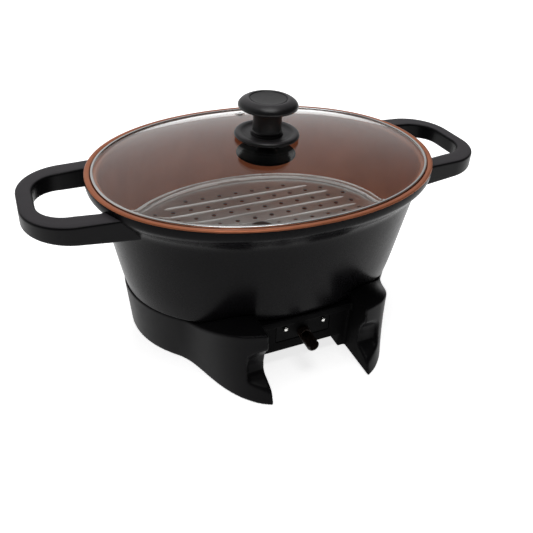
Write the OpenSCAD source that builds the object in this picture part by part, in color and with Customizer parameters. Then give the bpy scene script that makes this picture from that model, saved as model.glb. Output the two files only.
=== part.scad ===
// Oval countertop multicooker: a cast pot with a lift-off glass lid and a
// perforated steaming rack, standing in a four-legged heating base whose front
// bay holds the inlet for a plug-in control.
// Millimetres. +X to the right-hand handle, -Y to the front, +Z up.
// Origin on the table, under the middle of the pot.

/* [Pot] */
// Half length of the pot at the rim
rim_a = 184; // [180:1:190]
// Half width of the pot at the rim
rim_b = 137; // [135:0.5:139]
// Height of the rim above the table
rim_z = 181; // [179:0.2:183]
// Squareness of the oval (2 is a true ellipse)
oval_n = 2.1; // [2:0.05:2.2]
// How much of the wall's taper shows across the width
taper_k = 0.65; // [0.62:0.01:0.7]

/* [Handles] */
// Distance from the middle to the outer edge of a handle
handle_reach = 246; // [240:0.5:250]
// Top of the handles above the table
handle_top = 173.4; // [172:0.2:174]
// Height of the handle's bar where it meets the pot
handle_h = 23.4; // [22.6:0.2:24]
// Slope of the handle's underside, in degrees
handle_slope = 4.2; // [3:0.1:4.4]

/* [Lid] */
// Rise of the glass from its edge to the knob
dome_rise = 24; // [22:0.5:25]
// Thickness of the glass
glass_t = 4.2; // [3.6:0.1:4.4]
// Radius of the knob's cap
knob_r = 30.5; // [26:0.5:32]
// Radius of the knob's heat guard
guard_r = 33.5; // [30:0.5:35]

/* [Rack] */
// Height of the rack's floor above the table
rack_z = 92.5; // [92:0.5:94]
// Radius of a steam hole
hole_r = 2.8; // [2.4:0.1:3.2]
// Spacing of the steam holes along a row
hole_dx = 21; // [20:0.5:22]
// Spacing of the rows
hole_dy = 20; // [19:0.5:21]

/* [Base] */
// Height of the base at its ends, where the seam is
base_h = 55.2; // [55:0.1:55.6]
// How far the shoulders over the legs stand out of the oval
shoulder = 34.5; // [33.5:0.5:35.5]
// How far the shoulders rise above the base's ends
shoulder_rise = 15; // [14:0.5:15.5]
// How far the toes stand out of the oval
toe = 60; // [58:0.5:62]
// Wall thickness of the base's moulding
wall = 2.6; // [2.2:0.1:3]
// Half width of the bay between the legs
bay_half = 52.3; // [51.5:0.1:53]
// Height of the apron over the bay
apron_z = 59.8; // [59.4:0.1:60.2]
// Front face of the bay's back wall, from the middle
bay_y = 111.8; // [111.5:0.1:112.2]

/* [Inlet] */
// Half spacing of the contact pins
pin_x = 21; // [18:0.1:22]
// Height of the contact pins
pin_z = 46.8; // [46.4:0.1:47.2]
// Radius of the contact pins
pin_r = 2.4; // [2.2:0.1:2.6]
// Height of the probe bore
probe_z = 36; // [35.5:0.1:36.5]
// Radius of the probe bore
probe_r = 3.2; // [2.8:0.1:3.2]

/* [Hidden] */
$fn = 72;
NP = 84;   // points round the pot, lid and rack
NB = 120;  // points round the base

black = [0.055, 0.055, 0.06];
phenolic = [0.07, 0.068, 0.07];
steel = [0.75, 0.75, 0.74];
alloy = [0.62, 0.62, 0.63];
copper = [0.66, 0.34, 0.22];

pot_bottom = base_h - 3.5;   // underside of the pot's foot
pot_floor = pot_bottom + 5;  // cooking surface
plate_top = pot_bottom - 0.3;
plate_bot = plate_top - 8.8;
shield_z = 27;               // underside of the heat shield's floor
cover_z = 2.5;               // underside of the bottom cover
cover_t = 2;
screw_xy = [88, 92];         // screw bosses of the base
post_xy = [104, 44];         // posts under the heat shield
leg_xy = [74, 33];           // legs of the heating plate
pad_xy = [64.5, 135];        // rubber feet
lug_y = 58;                  // handle lugs on the pot
lug_x = 167;                 // handle screws

// ---- shapes shared by several pieces -------------------------------------

function sgn_pow(v, e) = sign(v) * pow(abs(v), e);

// an oval ring of points with its own half axes
function oval(a, b, z, n = NP) =
    [for (i = [0:n - 1]) let (t = 360 * i / n)
        [a * sgn_pow(cos(t), 2 / oval_n), b * sgn_pow(sin(t), 2 / oval_n), z]];

// the wall leans in less across the width than along the length
function lean(d) = d <= 12 ? d : 12 + taper_k * (d - 12);

// an oval ring d inside the rim's outline, and a further t inside that
function ring(d, z, t = 0) = oval(rim_a - d - t, rim_b - lean(d) - t, z);

// skin through a list of rings; capped at both ends, or joined end to end
module skin(rings, joined = false) {
    n = len(rings[0]);
    m = len(rings);
    last = joined ? m - 1 : m - 2;
    polyhedron(
        points = [for (r = rings) each r],
        faces = concat(
            [for (k = [0:last]) let (k1 = (k + 1) % m)
                for (i = [0:n - 1]) let (j = (i + 1) % n)
                    each [[k * n + i, k1 * n + i, k1 * n + j],
                          [k * n + i, k1 * n + j, k * n + j]]],
            joined ? [] : [[for (i = [0:n - 1]) i],
                           [for (i = [n - 1:-1:0]) (m - 1) * n + i]]),
        convexity = 8);
}

module four(p) for (x = [-1, 1], y = [-1, 1]) translate([x * p[0], y * p[1], 0]) children();

// a screw standing on its head: head below z = 0, shank above
module screw(r, len, head_r, head_h) {
    translate([0, 0, -head_h]) difference() {
        cylinder(r = head_r, h = head_h);
        translate([0, 0, -0.01]) cube([head_r * 1.1, head_r * 0.24, 1.6], center = true);
        translate([0, 0, -0.01]) cube([head_r * 0.24, head_r * 1.1, 1.6], center = true);
    }
    cylinder(r = r, h = len);
}

// ---- pot -------------------------------------------------------------------

// outside of the pot as [height above the table, distance inside the rim]
pot_out = [[pot_bottom, 40], [pot_bottom + 0.6, 37.6], [pot_bottom + 2, 36.6],
           [base_h + 0.8, 36.4], [base_h + 1.0, 32.7], [base_h + 1.7, 31.7],
           [62, 30.4], [75, 27.4], [100, 22.6], [125, 17.8], [150, 12.6],
           [157, 10.2], [163, 6.2], [167.5, 2.4], [171, 0.4], [173, 0],
           [rim_z - 1.4, 0], [rim_z - 0.3, 0.7], [rim_z, 1.8]];
// inside of the pot, from the floor up to the lid's ledge and the lip, as
// [height, distance inside the rim, wall thickness]
pot_in = [[pot_floor, 36.5, 10], [pot_floor + 0.6, 34, 7.4], [pot_floor + 2.5, 31.6, 5.2],
          [64, 29.6, 4.2], [75, 27.4, 4], [100, 22.6, 4], [125, 17.8, 4], [150, 12.6, 4],
          [160, 10.8, 4.2], [168, 10.2, 4], [173, 9.6, 3.6], [rim_z - 6.4, 8.6, 3.4],
          [rim_z - 6.2, 6.4, 0], [rim_z - 5.6, 5.6, 0], [rim_z - 0.8, 5.2, 0],
          [rim_z, 4.2, 0], [rim_z + 2, 4.2, 0]];

module pot_outer(grow = 0) skin([for (p = pot_out) ring(p[1] - grow, p[0])]);

module pot() color(black) difference() {
    union() {
        pot_outer();
        // lugs that the handles slide over
        for (x = [-1, 1], y = [-1, 1])
            translate([x * 160 - 14, y * lug_y - 4.5, 160]) cube([28, 9, 8]);
    }
    skin([for (p = pot_in) ring(p[1], p[0], p[2])]);
    for (x = [-1, 1], y = [-1, 1])
        translate([x * lug_x, y * lug_y, 159]) cylinder(r = 2.05, h = 8.2);
}

// ---- handles ----------------------------------------------------------------

function arc(cx, cy, r, a0, a1, n = 10) =
    [for (i = [0:n]) let (a = a0 + (a1 - a0) * i / n) [cx + r * cos(a), cy + r * sin(a)]];

// plan of a bail: arms from the root to rounded outer corners
function bail(root_w, end_w, reach, r) = concat(
    [[135, root_w]], arc(reach - r, end_w - r, r, 90, 0),
    arc(reach - r, r - end_w, r, 0, -90), [[135, -root_w]]);

module handle() color(phenolic) difference() {
    translate([0, 0, handle_top - handle_h - 4]) linear_extrude(height = handle_h + 4)
        difference() {
            polygon(bail(66.6, 62.9, handle_reach, 47.6));
            polygon(bail(51, 41.5, handle_reach - 14.8, 28.4));
        }
    pot_outer(grow = 0.3);
    // underside, rising towards the grip
    translate([150, -100, handle_top - handle_h]) rotate([0, -handle_slope, 0])
        translate([-40, 0, -30]) cube([200, 200, 30]);
    for (y = [-1, 1]) {
        translate([130, y * lug_y - 4.8, 159.7]) cube([44.4, 9.6, 8.6]);
        translate([lug_x, y * lug_y, 140]) cylinder(r = 2.2, h = 21);
        translate([lug_x, y * lug_y, 140]) cylinder(r = 4.4, h = 16.4);
    }
}

module handle_right() handle();
module handle_left() mirror([1, 0, 0]) handle();

module handle_screws() color(steel)
    for (x = [-1, 1], y = [-1, 1])
        translate([x * lug_x, y * lug_y, 156.4]) screw(2, 10.5, 4, 2.6);

// ---- steaming rack -----------------------------------------------------------

module steamer_rack() color(steel) difference() {
    union() {
        skin([oval(147, 104.5, rack_z), oval(147.8, 105.3, rack_z + 0.3),
              oval(149, 106.5, rack_z + 4.4), oval(155.4, 112.2, rack_z + 4.8),
              oval(156.2, 113, rack_z + 5.4), oval(155.4, 112.2, rack_z + 6),
              oval(148.2, 105.7, rack_z + 5.6), oval(146.8, 104.3, rack_z + 1.5),
              oval(146, 103.5, rack_z + 1.2)]);
        // ribs pressed up between the rows of holes
        for (k = [-4:3]) let (y = (k + 0.5) * hole_dy)
            translate([0, y, rack_z + 1])
                cube([2 * 132 * sqrt(1 - pow(y / 103, 2)) - 10, 2, 1.6], center = true);
    }
    translate([0, 0, rack_z - 1]) cylinder(r = 11, h = 5);
    for (j = [-4:4], i = [-8:8])
        let (x = i * hole_dx, y = j * hole_dy)
            if (pow(x / 139, 2) + pow(y / 99, 2) < 1 && norm([x, y]) > 14)
                translate([x, y, rack_z - 1]) cylinder(r = hole_r, h = 5, $fn = 24);
}

// ---- lid -----------------------------------------------------------------------

edge_d = 7.4;                 // edge of the glass, inside the rim
glass_z = rim_z - 0.4;        // top of the glass at its edge
flat_s = 0.988;               // share of the oval that is domed
function dome(s) = s >= flat_s ? 0 : dome_rise * (1 - pow(s / flat_s, 2));
glass_top = glass_z + dome_rise;
function glass_ring(s, dz) = oval((rim_a - edge_d) * s, (rim_b - edge_d) * s, glass_z + dome(s) + dz);
vent = [5, 86];
vent_s = sqrt(pow(vent[0] / (rim_a - edge_d), 2) + pow(vent[1] / (rim_b - edge_d), 2));
vent_tilt = atan(2 * dome_rise * vent[1] / pow((rim_b - edge_d) * flat_s, 2));
module at_vent() translate([vent[0], vent[1], glass_z + dome(vent_s)]) rotate([-vent_tilt, 0, 0]) children();

module lid_glass() color([0.8, 0.86, 0.86, 0.35]) difference() {
    skin([for (s = [0.05, 0.2, 0.38, 0.55, 0.7, 0.84, 0.94, flat_s]) glass_ring(s, -glass_t),
          glass_ring(0.997, -glass_t), glass_ring(1, -glass_t + 0.5),
          glass_ring(1, -0.5), glass_ring(0.997, 0),
          for (s = [flat_s, 0.94, 0.84, 0.7, 0.55, 0.38, 0.2, 0.05]) glass_ring(s, 0)]);
    translate([0, 0, glass_top - 10]) cylinder(r = 4, h = 20);
    at_vent() cylinder(r = 3.2, h = 20, center = true);
}

module lid_band() color(steel)
    skin([ring(6.8, rim_z - 5.9), ring(6.2, rim_z - 5.3), ring(6.2, rim_z + 0.1),
          ring(6.8, rim_z + 0.7), ring(8.3, rim_z + 0.7), ring(8.7, rim_z + 0.3),
          ring(8.7, rim_z - 0.1), ring(7.1, rim_z - 0.1), ring(7.1, rim_z - 4.9),
          ring(8.7, rim_z - 4.9), ring(8.7, rim_z - 5.9)], joined = true);

module vent_eyelet() color(steel) at_vent() difference() {
    rotate_extrude() polygon([[2, -glass_t - 1], [3.1, -glass_t - 1], [5, -glass_t - 0.9], [5, -glass_t - 0.3],
                              [3.1, -glass_t - 0.3], [3.1, 0.4], [5.6, 0.4], [5.8, 0.8], [5.2, 1.2], [2, 1.2]]);
    cylinder(r = 2, h = 30, center = true);
}

// knob stack, from the glass up
seat_z = glass_top + 0.05;
module knob_gasket() color([0.1, 0.1, 0.1]) translate([0, 0, seat_z]) difference() {
    cylinder(r = 18, h = 0.4);
    translate([0, 0, -1]) cylinder(r = 2.7, h = 4);
}

module knob_guard() color(phenolic) translate([0, 0, seat_z + 0.45]) rotate_extrude()
    polygon([[2.7, 0], [27, 0], [guard_r - 2.1, 0.2], [guard_r - 0.5, 0.8], [guard_r, 1.6], [guard_r - 0.4, 3],
             [guard_r - 1.6, 4.1], [guard_r - 3.6, 4.6], [27.4, 4.2], [25, 3], [22.5, 2.2], [16.8, 2], [16.2, 4], [2.7, 4]]);

cap_z = seat_z + 4.5;
module lid_knob() color(phenolic) translate([0, 0, cap_z]) rotate_extrude()
    polygon([[2.5, 0], [15.6, 0], [15.8, 1.4], [14.9, 2.6], [14.7, 5], [14.7, 22.5], [15.6, 24.3], [19, 25.6],
             [knob_r - 4.5, 26.5], [knob_r - 1.1, 27.1], [knob_r, 28.2], [knob_r - 0.3, 30.2], [knob_r - 2.1, 32.7],
             [knob_r - 5.5, 35], [21.6, 36.3], [19.6, 36.4], [18.9, 34.9], [0, 34.9], [0, 16], [2.5, 16]]);

module knob_inlay() color([0.09, 0.09, 0.095]) translate([0, 0, cap_z + 34.95])
    cylinder(r = 18.5, h = 0.75);

// disc under the glass that keeps steam off the knob's screw, with its sleeve
baffle_z = glass_top - 22.2;
module steam_baffle() color(phenolic) translate([0, 0, baffle_z]) rotate_extrude()
    polygon([[2.7, 0], [29.6, 0], [30.8, 1], [30.8, 1.8], [30, 2.6], [12, 2.8], [9.5, 4.2], [8.6, 7],
             [8.6, 22.2 - glass_t - 0.4], [2.7, 22.2 - glass_t - 0.4]]);

module knob_washer() color(steel) translate([0, 0, baffle_z - 1.3]) difference() {
    cylinder(r = 10, h = 1.25);
    translate([0, 0, -1]) cylinder(r = 2.7, h = 4);
}

module knob_screw() color(steel) translate([0, 0, baffle_z - 1.35])
    screw(2.45, 40, 4.8, 3);

// ---- base --------------------------------------------------------------------

function ease(t) = let (u = min(1, max(0, t))) u * u * (3 - 2 * u);
// angle from the nearer end of the oval, 0 at the ends and 90 front and back
function from_end(t) = let (u = t % 180) u > 90 ? 180 - u : u;
function plain(t, a, b) = 1 / sqrt(pow(cos(t) / a, 2) + pow(sin(t) / b, 2));
function top_bulge(t) = shoulder * ease((from_end(t) - 32) / 30);
function low_bulge(t) = toe * ease((from_end(t) - 28) / 47);
// height of the top edge: level at the ends, raised over the legs, a little sooner at the pot
function top_z(t) = base_h + shoulder_rise * ease((from_end(t) - 38) / 22);
function inner_z(t) = base_h + shoulder_rise * ease((from_end(t) - 32) / 28);
// plan of the base at height z, moved in by w
function base_r(t, z, w) = let (u = 1 - z / top_z(t), g = pow(max(0, u), 1.25))
    plain(t, 153.6 - 5.6 * u, 112.6 - 4.6 * u) + top_bulge(t) * (1 - g) + low_bulge(t) * g - w;
function base_ring(z, w, zz) = [for (i = [0:NB - 1]) let (t = 360 * i / NB)
    [base_r(t, z, w) * cos(t), base_r(t, z, w) * sin(t), zz]];
// ring a share f of the way from height z up to d under the top edge
function upper_ring(z, f, d, w) = [for (i = [0:NB - 1]) let (t = 360 * i / NB, h = z + f * (top_z(t) - d - z))
    [base_r(t, h, w) * cos(t), base_r(t, h, w) * sin(t), h]];
// inner edge of the flat shelves, d inside the rim's outline
function shelf_ring(d) = [for (i = [0:NB - 1]) let (t = 360 * i / NB, r = plain(t, rim_a - d, rim_b - lean(d)))
    [r * cos(t), r * sin(t), inner_z(t)]];

module base_outside() skin([oval(138, 97, 0.8, NB), base_ring(0, 1, 0.6), base_ring(1, 0, 1.6), base_ring(8, 0, 8), base_ring(18, 0, 18),
    base_ring(30, 0, 30), upper_ring(30, 0.4, 1.2, 0), upper_ring(30, 0.75, 1.2, 0), upper_ring(30, 1, 1.2, 0),
    upper_ring(30, 1, 0, 1.2), shelf_ring(32), shelf_ring(40), oval(100, 60, base_h + 17, NB)]);

module base_cavity() skin([base_ring(0, wall, -2), base_ring(2, wall, 2), base_ring(12, wall, 12),
    base_ring(26, wall, 26), base_ring(40, wall, 40), base_ring(46, wall, base_h - 5.2), oval(138, 100, base_h - 5, NB)]);

// hollows of the shoulders, open to the cavity below
module shoulder_hollows() four([68, 117.5]) translate([0, 0, 44]) cylinder(r = 12, h = 21);

// clear space between the legs, under and over the apron
module bay() rotate([90, 0, 90]) linear_extrude(height = 2 * bay_half, center = true)
    polygon([[-190, -1], [-bay_y, -1], [-bay_y, 52], [-bay_y - 4.2, 52], [-bay_y - 4.2, apron_z], [-100, apron_z],
             [-100, 80], [-190, 80]]);
// the same with its walls
module bay_walls() rotate([90, 0, 90]) linear_extrude(height = 2 * (bay_half + wall), center = true)
    polygon([[-190, -1], [wall - bay_y, -1], [wall - bay_y, 90], [-190, 90]]);

// recess under the inlet
module under_bay(w = 0) translate([-44 - w, -bay_y - 1, -1]) cube([88 + 2 * w, 27 + w, 17.5 + w]);

// scooped front of each leg, above its toe
module scoop(w = 0) rotate([90, 0, 90]) translate([0, 0, 30]) linear_extrude(height = 42 + w)
    polygon([[-190, 74 + w], [-146, 58 + w], [-140 + w * 0.7, 51.5 + w * 0.7], [-136 + w, 44], [-134.4 + w, 34],
             [-135 + w, 24.5], [-138 + w * 0.7, 21 - w * 0.7], [-144, 19.2 - w], [-151, 16.6 - w], [-158, 12 - w],
             [-190, -10 - w]]);
module scoops(w = 0) for (x = [0, 1], y = [0, 1]) mirror([x, 0, 0]) mirror([0, y, 0]) scoop(w);

module pot_room() skin([for (p = pot_out) if (p[0] < 101) ring(p[1] - 1.2, p[0] - (p[0] < base_h + 2 ? 1 : 0))]);

module base_housing() color(black) difference() {
    union() {
        difference() {
            base_outside();
            bay();
            mirror([0, 1, 0]) bay();
            under_bay();
            scoops();
            difference() {
                base_cavity();
                bay_walls();
                mirror([0, 1, 0]) bay_walls();
                under_bay(wall);
                scoops(wall);
            }
            shoulder_hollows();
            pot_room();
            skin([oval(145.4, 107.8, 44), oval(145.4, 107.8, base_h - 3)]);
        }
        // bosses for the bottom cover's screws
        four(screw_xy) translate([0, 0, 6]) cylinder(r = 5, h = base_h - 10);
    }
    // window for the inlet
    translate([-30, -bay_y - 1, 29.2]) cube([60, wall + 2, 21.4]);
    four(screw_xy) translate([0, 0, 5]) cylinder(r = 1.7, h = 18);
}

module bottom_cover() color([0.06, 0.06, 0.065]) translate([0, 0, cover_z]) difference() {
    linear_extrude(height = cover_t) difference() {
        polygon([for (i = [0:NB - 1]) let (t = 360 * i / NB, r = base_r(t, 5, wall + 0.4)) [r * cos(t), r * sin(t)]]);
        for (y = [-1, 1]) translate([0, y * 150]) square([2 * (bay_half + wall + 0.6), 2 * (150 - bay_y + wall + 0.4)], center = true);
        translate([0, -bay_y]) square([2 * (44 + wall + 0.4), 2 * (26 + wall + 0.4)], center = true);
        for (x = [-6:6]) for (y = [-38, 0, 38])
            translate([x * 13, y + 16]) square([4.5, 24], center = true);
    }
    four(screw_xy) translate([0, 0, -1]) cylinder(r = 2, h = 5);
    four(post_xy) translate([0, 0, -1]) cylinder(r = 2.2, h = 5);
    four(pad_xy) translate([0, 0, -1]) cylinder(r = 3.1, h = 5);
}

module cover_screws() color(steel) {
    four(screw_xy) translate([0, 0, cover_z]) screw(1.65, 14, 3.2, 1.6);
    four(post_xy) translate([0, 0, cover_z]) screw(2, 16, 3.6, 1.6);
}

module rubber_feet() color([0.04, 0.04, 0.04]) four(pad_xy) {
    cylinder(r1 = 6.6, r2 = 7.4, h = cover_z - 0.05);
    cylinder(r = 3, h = cover_z + cover_t + 0.1);
    translate([0, 0, cover_z + cover_t + 0.1]) cylinder(r1 = 4.1, r2 = 2.4, h = 3);
}

module support_posts() color(steel) four(post_xy) translate([0, 0, cover_z + cover_t + 0.05]) difference() {
    cylinder(r = 5, h = shield_z - cover_z - cover_t - 0.1);
    translate([0, 0, -1]) cylinder(r = 2.05, h = 18);
}

// ---- heating parts -------------------------------------------------------------

module heat_shield() color(alloy) difference() {
    skin([oval(136, 90, shield_z), oval(140.5, 94.5, shield_z + 1.2), oval(143, 97, shield_z + 5),
          oval(144, 98, base_h - 6.2), oval(149.2, 102.4, base_h - 6.2), oval(149.2, 102.4, base_h - 5.2),
          oval(143, 97, base_h - 5.2), oval(142, 96, shield_z + 5.4), oval(139.5, 93.5, shield_z + 2.1),
          oval(135, 89, shield_z + 1)], joined = false);
    // notch for the inlet
    translate([-47.5, -120, shield_z - 1]) cube([95, 37.4, 40]);
    translate([0, 0, shield_z - 1]) cylinder(r = 9.2, h = 5);
    four(leg_xy) translate([0, 0, shield_z - 1]) cylinder(r = 2.2, h = 5);
}

module stadium(r, x) { translate([-x, 0]) circle(r); translate([x, 0]) circle(r); square([2 * x, 2 * r], center = true); }

module heating_plate() color(alloy) difference() {
    union() {
        translate([0, 0, plate_bot]) linear_extrude(height = plate_top - plate_bot) difference() {
            stadium(62, 46);
            circle(15);
        }
        four(leg_xy) translate([0, 0, shield_z + 1.05]) cylinder(r = 5.5, h = plate_bot - shield_z);
    }
    four(leg_xy) translate([0, 0, shield_z]) cylinder(r = 1.9, h = 15);
    element_path(3.26);
}

// open loop of tube in the plate, with both ends led out to the front
module element_path(r) translate([0, 0, pin_z]) {
    for (x = [-1, 1]) mirror([x < 0 ? 1 : 0, 0, 0]) {
        translate([46, 0, 0]) rotate([0, 0, -90]) rotate_extrude(angle = 180) translate([40, 0]) circle(r);
        translate([0, 40, 0]) rotate([0, 90, 0]) cylinder(r = r, h = 46);
        translate([pin_x + 12, -40, 0]) rotate([0, 90, 0]) cylinder(r = r, h = 46 - pin_x - 12);
        translate([pin_x + 12, -52, 0]) rotate([0, 0, 90]) rotate_extrude(angle = 90) translate([12, 0]) circle(r);
        translate([pin_x, -52, 0]) rotate([90, 0, 0]) cylinder(r = r, h = 34);
    }
}

module heating_element() color([0.35, 0.34, 0.33]) intersection() {
    element_path(3.2);
    translate([-200, -85, 0]) cube([400, 300, 100]);
}

module plate_screws() color(steel) four(leg_xy) translate([0, 0, shield_z]) screw(1.85, 13, 3.6, 2);

// ---- inlet ---------------------------------------------------------------------

module socket_block() color([0.04, 0.04, 0.042]) difference() {
    union() {
        translate([-34, -bay_y + wall + 0.1, 29]) cube([68, 17, 20.9]);
        translate([-29.7, -bay_y + 0.5, 29.5]) cube([59.4, wall, 20.8]);
    }
    for (x = [-1, 1]) translate([x * pin_x, 0, pin_z]) rotate([90, 0, 0]) cylinder(r = 2.1, h = 200);
    translate([0, 0, probe_z]) rotate([90, 0, 0]) cylinder(r = probe_r, h = 200);
    for (x = [-1, 1]) translate([x * 31.9, -85, 40]) rotate([90, 0, 0]) cylinder(r = 1.5, h = 22);
}

module socket_screws() color(steel)
    for (x = [-1, 1]) translate([x * 31.9, -bay_y + wall + 17.1, 40]) rotate([90, 0, 0]) screw(1.45, 13, 2.0, 1.6);

module terminal_pins() color([0.85, 0.84, 0.8]) for (x = [-1, 1]) translate([x * pin_x, 0, pin_z]) rotate([90, 0, 0]) {
    translate([0, 0, 85.05]) cylinder(r = 2, h = bay_y - 85.05 - 0.4);
    translate([0, 0, bay_y - 0.45]) cylinder(r = pin_r, h = 3.2);
    translate([0, 0, bay_y + 2.75]) rotate_extrude()
        polygon([[0, 0], for (a = [0:15:90]) [pin_r * cos(a), 1.6 * sin(a)]]);
}

// trough that leads the control's probe into its bore
module probe_guide() color([0.13, 0.075, 0.05]) difference() {
    translate([0, -bay_y + 0.45, probe_z]) rotate([90, 0, 0]) union() {
        cylinder(r = 6.4, h = 23);
        translate([0, 0, 23]) rotate_extrude() polygon([[0, 0], [6.4, 0], [5.6, 1.6], [4.4, 2.2], [0, 2.2]]);
    }
    translate([0, -bay_y + 1, probe_z]) rotate([90, 0, 0]) cylinder(r = 4.4, h = 50);
    translate([-10, -200, probe_z + 1.2]) cube([20, 200 - bay_y - 6, 10]);
}

module probe_tube() color(alloy) difference() {
    translate([0, -bay_y + wall + 17.2, probe_z]) rotate([-90, 0, 0]) cylinder(r = 5, h = 62);
    translate([0, -bay_y + wall + 16, probe_z]) rotate([-90, 0, 0]) cylinder(r = probe_r + 1, h = 60);
}

module thermal_fuse() color([0.8, 0.78, 0.7]) translate([-52, -66, shield_z - 5]) rotate([0, 90, 0]) {
    cylinder(r = 4, h = 20);
    translate([0, 0, -9]) cylinder(r = 0.8, h = 38);
}

// ---- sensor --------------------------------------------------------------------

module sensor_guide() color([0.3, 0.3, 0.31]) difference() {
    union() {
        translate([0, 0, shield_z - 6]) cylinder(r = 9, h = 13);
        translate([0, 0, shield_z - 2.1]) cylinder(r = 13, h = 2);
    }
    translate([0, 0, shield_z - 10]) cylinder(r = 6.05, h = 30);
}

module sensor_cap() color(alloy) translate([0, 0, pot_bottom - 0.3]) {
    translate([0, 0, -3.6]) rotate_extrude()
        polygon([[0, 0], [12.6, 0], [13.2, 0.6], [13.2, 2.8], [12.4, 3.6], [0, 3.6]]);
    translate([0, 0, -34.5]) difference() {
        cylinder(r = 6, h = 31.5);
        translate([0, 0, 2.5]) difference() { cylinder(r = 7, h = 1.3); translate([0, 0, -1]) cylinder(r = 5, h = 4); }
        translate([0, 0, -1]) cylinder(r = 2.5, h = 28);
    }
}

module sensor_clip() color(steel) translate([0, 0, pot_bottom - 34.8 + 2.6]) difference() {
    cylinder(r = 8, h = 1.1);
    translate([0, 0, -1]) cylinder(r = 5.05, h = 4);
    translate([3.4, -1.5, -1]) cube([10, 3, 4]);
}

// coil spring under the sensor's cap
module sensor_spring() color(steel) {
    turns = 4.5; per = 14; w = 0.55; r = 7.9;
    z0 = shield_z + 7.1 + w; z1 = pot_bottom - 3.9 - 0.1 - w;
    steps = floor(turns * per);
    skin([for (k = [0:steps]) let (t = 360 * k / per, z = z0 + (z1 - z0) * k / steps)
        [for (i = [0:5]) let (a = 60 * i)
            [(r + w * cos(a)) * cos(t), (r + w * cos(a)) * sin(t), z + w * sin(a)]]]);
}

// ---- what is drawn -------------------------------------------------------------

base_housing();
bottom_cover();
cover_screws();
rubber_feet();
support_posts();
heat_shield();
heating_plate();
heating_element();
plate_screws();
socket_block();
socket_screws();
terminal_pins();
probe_guide();
probe_tube();
thermal_fuse();
sensor_guide();
sensor_cap();
sensor_clip();
sensor_spring();
pot();
handle_left();
handle_right();
handle_screws();
steamer_rack();
lid_glass();
lid_band();
vent_eyelet();
knob_gasket();
knob_guard();
lid_knob();
knob_inlay();
steam_baffle();
knob_washer();
knob_screw();
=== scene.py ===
import math

import bpy
import numpy as np
from mathutils import Matrix, Vector


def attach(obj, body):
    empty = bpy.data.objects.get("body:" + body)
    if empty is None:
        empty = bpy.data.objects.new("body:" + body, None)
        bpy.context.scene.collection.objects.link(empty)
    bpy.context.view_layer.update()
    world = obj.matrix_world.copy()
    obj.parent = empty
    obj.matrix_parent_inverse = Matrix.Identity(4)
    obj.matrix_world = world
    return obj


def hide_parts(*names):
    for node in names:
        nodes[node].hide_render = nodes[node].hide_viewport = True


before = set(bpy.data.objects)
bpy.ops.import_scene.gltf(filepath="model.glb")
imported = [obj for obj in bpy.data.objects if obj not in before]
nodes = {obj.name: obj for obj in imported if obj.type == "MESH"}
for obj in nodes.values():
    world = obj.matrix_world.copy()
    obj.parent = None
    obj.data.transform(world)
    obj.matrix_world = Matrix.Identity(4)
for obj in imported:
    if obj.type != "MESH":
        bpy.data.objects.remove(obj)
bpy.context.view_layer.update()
scene = bpy.context.scene

MM = 0.001

# ---------------------------------------------------------------------------
# materials
# ---------------------------------------------------------------------------


def new_material(name):
    m = bpy.data.materials.new(name)
    m.use_nodes = True
    nt = m.node_tree
    nt.nodes.clear()
    out = nt.nodes.new("ShaderNodeOutputMaterial")
    p = nt.nodes.new("ShaderNodeBsdfPrincipled")
    nt.links.new(p.outputs[0], out.inputs[0])
    return m, nt, p


def coords(nt, scale=(1, 1, 1), turn=(0, 0, 0)):
    tc = nt.nodes.new("ShaderNodeTexCoord")
    mp = nt.nodes.new("ShaderNodeMapping")
    mp.inputs["Scale"].default_value = scale
    mp.inputs["Rotation"].default_value = turn
    nt.links.new(tc.outputs["Object"], mp.inputs["Vector"])
    return mp.outputs["Vector"]


def noise(nt, vec, scale, detail=2.0, rough=0.5, distortion=0.0):
    n = nt.nodes.new("ShaderNodeTexNoise")
    n.inputs["Scale"].default_value = scale
    n.inputs["Detail"].default_value = detail
    n.inputs["Roughness"].default_value = rough
    n.inputs["Distortion"].default_value = distortion
    nt.links.new(vec, n.inputs["Vector"])
    return n.outputs["Fac"]


def cells(nt, vec, scale):
    n = nt.nodes.new("ShaderNodeTexVoronoi")
    n.inputs["Scale"].default_value = scale
    nt.links.new(vec, n.inputs["Vector"])
    return n.outputs["Distance"]


def ramp(nt, fac, stops):
    n = nt.nodes.new("ShaderNodeValToRGB")
    e = n.color_ramp.elements
    while len(e) < len(stops):
        e.new(0.5)
    for el, (pos, col) in zip(e, stops):
        el.position = pos
        el.color = (col[0], col[1], col[2], 1)
    nt.links.new(fac, n.inputs["Fac"])
    return n.outputs["Color"]


def spread(nt, fac, low, high, frm=0.3, to=0.7):
    n = nt.nodes.new("ShaderNodeMapRange")
    n.inputs["From Min"].default_value = frm
    n.inputs["From Max"].default_value = to
    n.inputs["To Min"].default_value = low
    n.inputs["To Max"].default_value = high
    nt.links.new(fac, n.inputs["Value"])
    return n.outputs["Result"]


def bump(nt, height, strength, distance, normal=None):
    n = nt.nodes.new("ShaderNodeBump")
    n.inputs["Strength"].default_value = strength
    n.inputs["Distance"].default_value = distance
    nt.links.new(height, n.inputs["Height"])
    if normal is not None:
        nt.links.new(normal, n.inputs["Normal"])
    return n.outputs["Normal"]


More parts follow.
